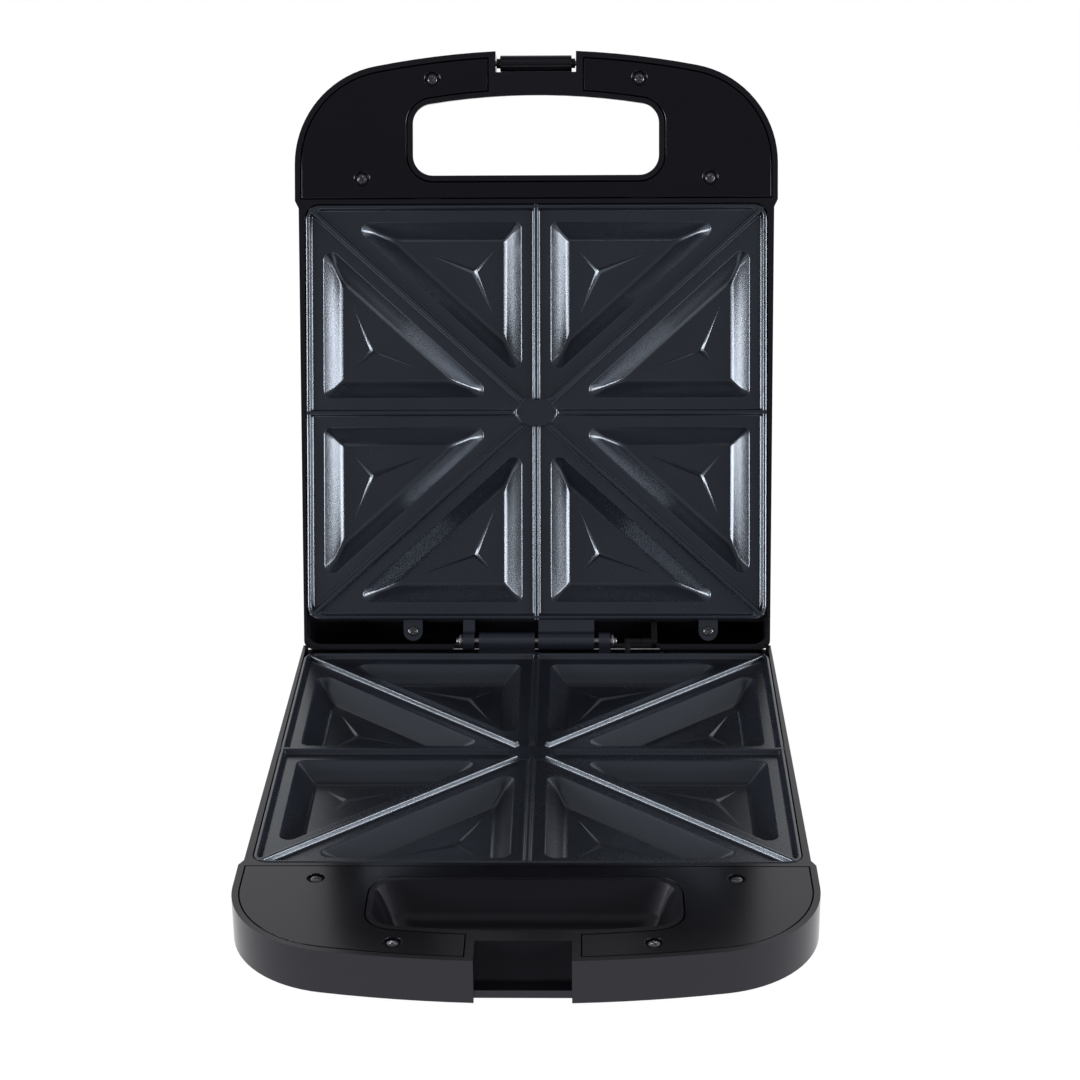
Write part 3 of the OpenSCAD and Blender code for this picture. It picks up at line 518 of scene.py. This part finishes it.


# The bluish gloss tints below are painted, standing for the bluish cast of the light.
MAT = {
    "casing": material("casing_plastic", (0.0040, 0.0038, 0.0052), 0.18, spec=0.45, grain=1400,
                       bump=0.000005, painted_light_tint=(0.86, 0.85, 1.0)),
    "panel": material("panel_gloss", (0.0025, 0.0024, 0.0034), 0.15, spec=0.45, grain=1100,
                      bump=0.000002, rough_var=0.03, painted_light_tint=(0.84, 0.84, 1.0)),
    "coating": material("nonstick_coating", (0.0065, 0.0075, 0.0115), 0.26, spec=1.0, grain=1800,
                        bump=0.00004, painted_light_tint=(0.78, 0.87, 1.0)),
    "black_screw": material("black_screw", (0.14, 0.14, 0.155), 0.2, metallic=0.95, bump=0.00001),
    "steel": material("steel", (0.5, 0.5, 0.52), 0.28, metallic=1.0, bump=0.000006),
    "sheath": material("element_sheath", (0.13, 0.12, 0.11), 0.5, metallic=1.0, bump=0.00001),
    "shield": material("shield_sheet", (0.6, 0.61, 0.63), 0.35, metallic=1.0, bump=0.00001),
    "insulator": material("insulator", (0.62, 0.6, 0.54), 0.5, bump=0.00001),
    "lead": material("lead_sleeve", (0.004, 0.004, 0.005), 0.75, spec=0.1, bump=0.00003),
    "rubber": material("rubber", (0.012, 0.012, 0.012), 0.7, bump=0.00003),
    "latch": material("latch_plastic", (0.0040, 0.0038, 0.0052), 0.2, grain=1400,
                      bump=0.000004, painted_light_tint=(0.84, 0.84, 1.0)),
    "neon": material("neon_glass", (0.8, 0.5, 0.3), 0.15, transmission=0.4),
    "red_lens": material("red_lens", (0.5, 0.02, 0.015), 0.12, coat=0.5),
    "green_lens": material("green_lens", (0.03, 0.3, 0.06), 0.12, coat=0.5),
}
NODE_MAT = {
    "base_housing": "casing", "lid_housing": "casing",
    "base_handle_panel": "panel", "lid_handle_panel": "panel",
    "base_plate": "coating", "lid_plate": "coating",
    "base_panel_screws": "black_screw", "lid_panel_screws": "black_screw",
    "base_plate_screws": "black_screw", "lid_plate_screws": "black_screw",
    "base_heating_element": "sheath", "lid_heating_element": "sheath",
    "base_element_clips": "steel", "lid_element_clips": "steel",
    "base_reflector": "shield", "lid_reflector": "shield",
    "base_reflector_screws": "steel", "lid_reflector_screws": "steel",
    "thermostat": "insulator", "thermostat_bracket": "steel", "thermal_fuse": "insulator",
    "terminal_block": "insulator", "base_wiring": "lead", "lid_wiring": "lead",
    "cord_gland": "rubber", "rubber_feet": "rubber",
    "hinge_pin": "steel", "hinge_pin_clips": "steel",
    "lamp_holder": "insulator", "neon_lamps": "neon",
    "power_lamp_lens": "red_lens", "ready_lamp_lens": "green_lens",
    "latch": "latch", "latch_pin": "steel",
}
for name, obj in frame["nodes"].items():
    finish = MAT[NODE_MAT[name]]
    if obj.data.materials:
        for slot in obj.material_slots:
            slot.material = finish
    else:
        obj.data.materials.append(finish)

put(make_plate("lower_plate_casting", "base_plate", BASE), "base", "plate", "base_plate")
put(make_plate("upper_plate_casting", "lid_plate", LID), "lid", "plate", "lid_plate")


# ------------------------------------------------------------------ screws

HEAD_R, SHANK_R, HEAD_T = 2.7, 1.5, 1.6
DOME, EDGE_START, EDGE_RUN, EDGE_DROP = 0.3, 2.3, 0.4, 0.4
CROSS_REACH, CROSS_END, CROSS_HALF, CROSS_SIDE, CROSS_D, CROSS_FADE = 1.75, 0.35, 0.42, 0.14, 0.75, 0.25
FIRST_TURN, TURN_STEP = 0.25, 0.6
HEAD_RADII = np.concatenate([np.linspace(0.02, 1.9, 17), [2.1, EDGE_START, 2.46, 2.58, 2.66, HEAD_R]])
AROUND = np.linspace(0, 2 * math.pi, 65)[:-1]


def head_point(r, t, turn):
    """Point at a radius and angle on a domed head, with a cross recess turned by an angle.

    After x and y come the dome's height, below the top, and how deep the recess is there."""
    x, y = r * math.cos(t), r * math.sin(t)
    u = abs(x * math.cos(turn) + y * math.sin(turn))
    w = abs(y * math.cos(turn) - x * math.sin(turn))
    u, w = max(u, w), min(u, w)
    edge = EDGE_DROP * ((r - EDGE_START) / EDGE_RUN) ** 2 if r > EDGE_START else 0
    cut = min(max((CROSS_REACH - u) / CROSS_END, 0), max((CROSS_HALF - w) / CROSS_SIDE, 0), 1)
    return x, y, -DOME * (r / HEAD_R) ** 2 - edge, CROSS_D * cut * (1 - CROSS_FADE * u)


def screw_spots(node, matrix):
    """Middle and lowest point of each screw of a CAD node, in its half's drawing."""
    inverse = matrix.inverted()
    clouds = []
    for v in frame["nodes"][node].data.vertices:
        q = inverse @ v.co
        near = [cloud for cloud in clouds if (cloud[0].xy - q.xy).length < 6]
        if near:
            near[0].append(q)
        else:
            clouds.append([q])
    return [((min(q.x for q in cloud) + max(q.x for q in cloud)) / 2,
             (min(q.y for q in cloud) + max(q.y for q in cloud)) / 2,
             min(q.z for q in cloud)) for cloud in clouds]


def screw_heads(name, node, matrix, head_z):
    """Domed cross-head screws in place of a CAD node's, at the same spots."""
    builder = Builder()
    under = head_z - HEAD_T
    for k, (cx, cy, low) in enumerate(screw_spots(node, matrix)):
        rings = []
        for r in HEAD_RADII:
            ring = [head_point(r, t, FIRST_TURN + TURN_STEP * k) for t in AROUND]
            rings.append([(cx + x, cy + y, head_z + dome - recess) for x, y, dome, recess in ring])
        for r, z in ((HEAD_R, under + 0.1), (HEAD_R - 0.1, under), (SHANK_R + 0.05, under),
                     (SHANK_R, under - 0.1), (SHANK_R, low + 0.4), (SHANK_R - 0.3, low)):
            rings.append([(cx + r * math.cos(t), cy + r * math.sin(t), z) for t in AROUND])
        builder.loft(rings)
        ends = list(range(len(AROUND)))
        builder.add(rings[0], [ends])
        builder.add(rings[-1], [ends[::-1]])
    obj = builder.build(name, matrix, merge=0.0005)
    keep_corners(obj, 40)
    obj.data.materials.append(MAT["black_screw"])
    return obj


PANEL_HEAD_Z, LUG_HEAD_Z = -1.4, -5.35
for name, node, matrix, head_z in (("base_cover_screws", "base_panel_screws", BASE, PANEL_HEAD_Z),
                                   ("lid_cover_screws", "lid_panel_screws", LID, PANEL_HEAD_Z),
                                   ("base_lug_screws", "base_plate_screws", BASE, LUG_HEAD_Z),
                                   ("lid_lug_screws", "lid_plate_screws", LID, LUG_HEAD_Z)):
    put(screw_heads(name, node, matrix, head_z), frame["nodes"][node]["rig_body"], NODE_MAT[node], node)


# ------------------------------------------------------------------ casings, panels and small pieces

NEAR = 0.05  # how far a point may be from a height or place that picks it out
WELL_Z, WELL_MID_V = -19.7, 280.0
# The finger well's walls: how far they lean and how far the fillet reaches, at sides, rear and front
WELL_LEAN, WELL_FILLET, WELL_SPREAD = (8.5, 9.5, 1.0), 6.0, (1.0, 1.0, 0.3)
NOTCH_V, NOTCH_LEAN, NOTCH_HALF, LEDGE_Z = 310.0, 5.0, 40, -18.7
HANDLE_H, HOLE_V, HOLE_HALF = 22.5, (257.0, 309.0), 70
FLARE_SIDE, FLARE_REAR, FLARE_FRONT = 1.8, 0.4, 3.0
PANEL_GROOVE = 0.4


def extent(points):
    """Half width, and nearest and farthest distance from the hinge line."""
    return (max(abs(q.x) for q in points), min(-q.y for q in points), max(-q.y for q in points))


def boundary_ring(bm):
    """Vertices round the one open edge of a mesh, in order."""
    left = {e for e in bm.edges if e.is_boundary}
    e = next(e for e in bm.edges if e.is_boundary)
    ring = [e.verts[0]]
    while True:
        left.discard(e)
        v = e.other_vert(ring[-1])
        if v is ring[0]:
            return ring
        ring.append(v)
        e = next(k for k in v.link_edges if k in left)


def slant_well(bm):
    """Gives the finger well slanting walls and a fillet, and the latch's notch a slanting wall."""
    inverse = BASE.inverted()
    local = {v: inverse @ v.co for v in bm.verts}
    level = [f for f in bm.faces if all(abs(local[v].z - WELL_Z) < NEAR for v in f.verts)]
    todo = [f for f in level if inside([local[v].xy for v in f.verts], (0.3, -WELL_MID_V))]
    floor = set(todo)
    while todo:
        for e in todo.pop().edges:
            for f in e.link_faces:
                if f in level and f not in floor:
                    floor.add(f)
                    todo.append(f)
    floor = [v for v in bm.verts if any(f in floor for f in v.link_faces)]
    half, v0, v1 = extent([local[v] for v in floor])
    for v, q in local.items():
        if abs(-q.y - NOTCH_V) < NEAR and abs(q.z - LEDGE_Z) < NEAR and abs(q.x) < NOTCH_HALF:
            v.co = BASE @ Vector((q.x, q.y - NOTCH_LEAN, q.z))
    bmesh.ops.delete(bm, geom=floor, context="VERTS")

    ring = boundary_ring(bm)
    mouth = [inverse @ v.co for v in ring]
    top = mouth[0].z
    depth = top - WELL_Z
    for turn in (math.radians(9 * k) for k in range(11)):
        reach, sink = 1 - math.cos(turn), math.sin(turn)
        drop = depth - WELL_FILLET * (1 - sink)
        lean = min(drop / depth, 1.0)
        side, rear, front = (lean * a + WELL_FILLET * reach * b for a, b in zip(WELL_LEAN, WELL_SPREAD))
        lower = []
        for q in mouth:
            t = (-q.y - v0) / (v1 - v0)
            v = v0 + rear + t * (v1 - v0 - rear - front)
            lower.append(bm.verts.new(BASE @ Vector((q.x * (1 - side / half), -v, top - drop))))
        for i in range(len(ring)):
            j = (i + 1) % len(ring)
            bm.faces.new((ring[i], ring[j], lower[j], lower[i]))
        ring = lower
    bm.faces.new(ring)
    bmesh.ops.recalc_face_normals(bm, faces=bm.faces)


def flare_hole(bm):
    """Widens the lid's finger hole towards the outside of the handle."""
    inverse = LID.inverted()
    outside = {}
    for v in bm.verts:
        q = inverse @ v.co
        if abs(q.z + HANDLE_H) < NEAR and abs(q.x) < HOLE_HALF and HOLE_V[0] < -q.y < HOLE_V[1]:
            outside[v] = q
    half, v0, v1 = extent(outside.values())
    for vert, q in outside.items():
        t = (-q.y - v0) / (v1 - v0)
        v = v0 - FLARE_REAR + t * (v1 - v0 + FLARE_REAR + FLARE_FRONT)
        vert.co = LID @ Vector((q.x * (1 + FLARE_SIDE / half), -v, q.z))


def widen_groove(matrix):
    """Draws the upright faces of a panel in, so that the groove round it is wider."""
    up = (matrix.to_3x3() @ Vector((0, 0, 1))).normalized()

    def reshape(bm):
        moves = []
        for v in bm.verts:
            sides = []
            for f in v.link_faces:
                if abs(f.normal.dot(up)) < 0.3 and all(f.normal.dot(n) < 0.999 for n in sides):
                    sides.append(f.normal.copy())
            if len(sides) == 1:
                moves.append((v, sides[0]))
            elif len(sides) > 1:
                moves.append((v, (sides[0] + sides[1]) / (1 + sides[0].dot(sides[1]))))
        for v, move in moves:
            v.co -= move * (PANEL_GROOVE * MM)
    return reshape


def softened(name, node, width, reshape):
    """Copy of a CAD node, reshaped, with its edges rounded to a width in millimetres."""
    source = frame["nodes"][node].data
    mesh = bpy.data.meshes.new(name)
    mesh.from_pydata([tuple(v.co) for v in source.vertices], [],
                     [tuple(p.vertices) for p in source.polygons])
    bm = bmesh.new()
    bm.from_mesh(mesh)
    bmesh.ops.remove_doubles(bm, verts=bm.verts, dist=2e-6)
    bmesh.ops.dissolve_limit(bm, angle_limit=math.radians(0.6), verts=bm.verts, edges=bm.edges,
                             delimit={"NORMAL"})
    bmesh.ops.recalc_face_normals(bm, faces=bm.faces)
    if reshape:
        reshape(bm)
    for f in bm.faces:
        f.smooth = True
    bm.to_mesh(mesh)
    bm.free()
    obj = link(name, mesh)
    bevel = obj.modifiers.new("edges", "BEVEL")
    bevel.width = width * MM
    bevel.segments = 3
    bevel.limit_method = "ANGLE"
    bevel.angle_limit = math.radians(28)
    bevel.use_clamp_overlap = True
    bevel.miter_outer = "MITER_ARC"
    bevel.harden_normals = True
    mesh.materials.append(MAT[NODE_MAT[node]])
    return obj


for name, node, width, reshape in (
        ("base_casing_shell", "base_housing", 0.5, slant_well),
        ("lid_casing_shell", "lid_housing", 0.5, flare_hole),
        ("base_handle_cover", "base_handle_panel", 0.5, widen_groove(BASE)),
        ("lid_handle_cover", "lid_handle_panel", 0.5, widen_groove(LID)),
        ("swing_latch", "latch", 0.4, None),
        ("latch_pivot_rod", "latch_pin", 0.3, None),
        ("hinge_rod", "hinge_pin", 0.4, None),
        ("hinge_rod_clips", "hinge_pin_clips", 0.12, None),
        ("rubber_foot_pads", "rubber_feet", 1.0, None),
        ("cord_entry_bush", "cord_gland", 0.5, None),
        ("power_lens_cap", "power_lamp_lens", 0.8, None),
        ("ready_lens_cap", "ready_lamp_lens", 0.8, None)):
    put(softened(name, node, width, reshape), frame["nodes"][node]["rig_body"], NODE_MAT[node], node)


# ------------------------------------------------------------------ camera, floor, backdrop and lamps

# Fitted to the photograph: angles in degrees, the place in millimetres from the middle of the
# hinge line, the focal length in pixels of the 1080-pixel frame
YAW, PITCH, ROLL = 1.2070, 22.3228, -0.5160
CAMERA_AT = (27.978, -1214.787, 559.732)
FOCAL, FRAME, SENSOR = 2402.73, 1080, 36

FLOOR_COLOUR, FLOOR_GLOW, GLOW_SHARE = 0.92, 1.1, 0.85
FLOOR_FRONT, FLOOR_REACH = -0.62, 4.0
# What gloss sees of the backdrop: dark in front, lighter from low to level, white behind
FRONT_LOW, FRONT_LEVEL, BEHIND = 0.02, 0.17, 1.0
TOP_LEVEL, ABOVE_SHARE = 0.32, 0.3
WORLD_LEVEL = 0.35
LAMP_AT, LAMP_SIZE, LAMP_WATTS = (2.88, -1.4, 0.72), (2.85, 0.62), 128


def add_camera():
    yaw, pitch, roll = (math.radians(a) for a in (YAW, PITCH, ROLL))
    right = Vector((math.cos(yaw), math.sin(yaw), 0))
    forward = Vector((-math.sin(yaw) * math.cos(pitch), math.cos(yaw) * math.cos(pitch), -math.sin(pitch)))
    up = right.cross(forward)
    x_axis = right * math.cos(roll) + up * math.sin(roll)
    y_axis = up * math.cos(roll) - right * math.sin(roll)
    data = bpy.data.cameras.new("camera")
    data.sensor_width = SENSOR
    data.lens = FOCAL / FRAME * SENSOR
    data.clip_end = 100
    camera = link("camera", data)
    view = Matrix((x_axis, y_axis, -forward)).transposed().to_4x4()
    view.translation = Vector(CAMERA_AT) * MM + HINGE
    camera.matrix_world = view
    bpy.context.scene.camera = camera


def add_floor():
    """Pale floor that still takes the object's shadow, and is near white to camera and gloss."""
    mesh = bpy.data.meshes.new("floor")
    r = FLOOR_REACH
    mesh.from_pydata([(-r, FLOOR_FRONT, 0), (r, FLOOR_FRONT, 0), (r, r, 0), (-r, r, 0)], [], [(0, 1, 2, 3)])
    floor = link("floor", mesh)
    m = bpy.data.materials.new("floor_white")
    m.use_nodes = True
    tree = m.node_tree
    matt = tree.nodes["Principled BSDF"]
    matt.inputs["Base Color"].default_value = (FLOOR_COLOUR, FLOOR_COLOUR, FLOOR_COLOUR, 1)
    matt.inputs["Roughness"].default_value = 1.0
    matt.inputs["Specular IOR Level"].default_value = 0.0
    glow = add_node(tree, "Emission", {"Strength": FLOOR_GLOW})
    path = tree.nodes.new("ShaderNodeLightPath")
    share = 0.0
    for ray in ("Is Camera Ray", "Is Glossy Ray", "Is Transmission Ray"):
        share = add_node(tree, "Math", {0: path.outputs[ray], 1: GLOW_SHARE, 2: share},
                         operation="MULTIPLY_ADD", use_clamp=True).outputs[0]
    both = add_node(tree, "MixShader", {0: share, 1: matt.outputs[0], 2: glow.outputs[0]})
    tree.links.new(both.outputs[0], tree.nodes["Material Output"].inputs["Surface"])
    mesh.materials.append(m)


def add_backdrop():
    """White to the camera, graded to gloss and glass, and plain to the rest."""
    world = bpy.data.worlds.new("studio")
    bpy.context.scene.world = world
    world.use_nodes = True
    tree = world.node_tree

    def maths(operation, *inputs):
        return add_node(tree, "Math", dict(enumerate(inputs)), operation=operation).outputs[0]

    def ramp(value, start, end, low=0.0, high=1.0):
        return add_node(tree, "MapRange", {"Value": value, "From Min": start, "From Max": end,
                                           "To Min": low, "To Max": high},
                        interpolation_type="SMOOTHSTEP").outputs[0]

    direction = tree.nodes.new("ShaderNodeTexCoord").outputs["Generated"]
    parts = add_node(tree, "SeparateXYZ", {0: direction}).outputs
    back, height = parts["Y"], parts["Z"]
    path = tree.nodes.new("ShaderNodeLightPath")
    low_front = ramp(height, -0.08, 0.16, FRONT_LOW, FRONT_LEVEL)
    level = ramp(back, -0.1, 0.5, low_front, BEHIND)
    level = maths("MULTIPLY_ADD", maths("SUBTRACT", TOP_LEVEL, level), ramp(height, 0.45, 0.8), level)
    level = maths("MULTIPLY", level, ramp(height, 0.86, 1.0, 1.0, ABOVE_SHARE))
    gloss = maths("ADD", path.outputs["Is Glossy Ray"], path.outputs["Is Transmission Ray"])
    gloss = maths("MINIMUM", gloss, 1.0)
    level = maths("ADD", maths("MULTIPLY", level, gloss),
                  maths("MULTIPLY", maths("SUBTRACT", 1.0, gloss), WORLD_LEVEL))
    camera = path.outputs["Is Camera Ray"]
    level = maths("ADD", maths("MULTIPLY", level, maths("SUBTRACT", 1.0, camera)), camera)
    backdrop = tree.nodes["Background"]
    backdrop.inputs["Color"].default_value = (1, 1, 1, 1)
    tree.links.new(level, backdrop.inputs["Strength"])


def add_lamps():
    x, y, z = LAMP_AT
    for name, place in (("left_softbox", (-x, y, z)), ("right_softbox", (x, y, z))):
        light = bpy.data.lights.new(name, "AREA")
        light.shape = "RECTANGLE"
        light.size, light.size_y = LAMP_SIZE
        light.energy = LAMP_WATTS
        lamp = link(name, light)
        lamp.location = place
        lamp.rotation_euler = (Vector((0, 0, z)) - Vector(place)).to_track_quat("-Z", "Y").to_euler()


add_camera()
add_floor()
add_backdrop()
add_lamps()
bpy.context.scene.view_settings.view_transform = "Standard"
